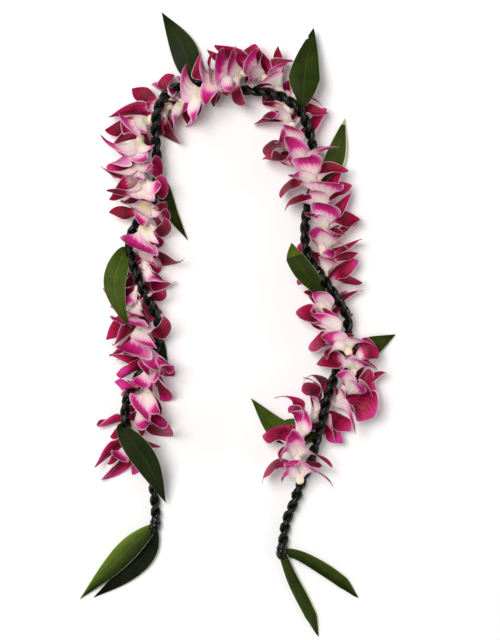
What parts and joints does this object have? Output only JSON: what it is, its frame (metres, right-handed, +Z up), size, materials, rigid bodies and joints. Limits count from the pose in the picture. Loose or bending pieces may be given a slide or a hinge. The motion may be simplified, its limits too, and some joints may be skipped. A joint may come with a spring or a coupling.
{
  "type": "fresh flower lei",
  "caption": "Open-ended lei of orchid blooms threaded in a strand and wound round a twisted rope of ti leaves, laid out in an arch, to be worn over the shoulders.",
  "frame": {"origin": "centre of the lei's outline on the surface that it lies on", "axes": "+Y from the two open ends towards the arch, +X to the right seen from above, +Z up from the surface"},
  "size_m": [0.316, 0.6273, 0.0541],
  "materials": {
    "knot_leaf": "glossy dark green ti leaf, knotted; leather stands in for a thick leaf",
    "ti_leaf": "glossy dark green ti leaf, softened and twisted; leather stands in for a thick leaf",
    "thread": "matt dark green cotton thread",
    "orchid_petal": "satin magenta petal, cream at the throat; fabric stands in for a petal"
  },
  "bodies": {
    "root": {"end_knot_right": "knot_leaf", "end_knot_left": "knot_leaf", "ti_leaf_strip_inner_right_low": "ti_leaf", "ti_leaf_strip_inner_right_high": "ti_leaf", "ti_leaf_strip_top_right": "ti_leaf", "ti_leaf_strip_inner_left": "ti_leaf", "ti_leaf_strip_inner_left_low": "ti_leaf", "ti_leaf_strip_outer_right_low": "ti_leaf", "ti_leaf_strip_outer_right_high": "ti_leaf", "ti_leaf_strip_top_left": "ti_leaf", "ti_leaf_strip_outer_left_high": "ti_leaf", "ti_leaf_strip_outer_left_low": "ti_leaf", "lei_thread": "thread", "orchid_bloom_01": "orchid_petal", "orchid_bloom_02": "orchid_petal", "orchid_bloom_03": "orchid_petal", "orchid_bloom_04": "orchid_petal", "orchid_bloom_05": "orchid_petal", "orchid_bloom_06": "orchid_petal", "orchid_bloom_07": "orchid_petal", "orchid_bloom_08": "orchid_petal", "orchid_bloom_09": "orchid_petal", "orchid_bloom_10": "orchid_petal", "orchid_bloom_11": "orchid_petal", "orchid_bloom_12": "orchid_petal", "orchid_bloom_13": "orchid_petal", "orchid_bloom_14": "orchid_petal", "orchid_bloom_15": "orchid_petal", "orchid_bloom_16": "orchid_petal", "orchid_bloom_17": "orchid_petal", "orchid_bloom_18": "orchid_petal", "orchid_bloom_19": "orchid_petal", "orchid_bloom_20": "orchid_petal", "orchid_bloom_21": "orchid_petal", "orchid_bloom_22": "orchid_petal", "orchid_bloom_23": "orchid_petal", "orchid_bloom_24": "orchid_petal", "orchid_bloom_25": "orchid_petal", "orchid_bloom_26": "orchid_petal", "orchid_bloom_27": "orchid_petal", "orchid_bloom_28": "orchid_petal", "orchid_bloom_29": "orchid_petal", "orchid_bloom_30": "orchid_petal", "orchid_bloom_31": "orchid_petal", "orchid_bloom_32": "orchid_petal", "orchid_bloom_33": "orchid_petal", "orchid_bloom_34": "orchid_petal", "orchid_bloom_35": "orchid_petal", "orchid_bloom_36": "orchid_petal", "orchid_bloom_37": "orchid_petal", "orchid_bloom_38": "orchid_petal", "orchid_bloom_39": "orchid_petal", "orchid_bloom_40": "orchid_petal", "orchid_bloom_41": "orchid_petal", "orchid_bloom_42": "orchid_petal", "orchid_bloom_43": "orchid_petal", "orchid_bloom_44": "orchid_petal"}
  },
  "joints": []
}
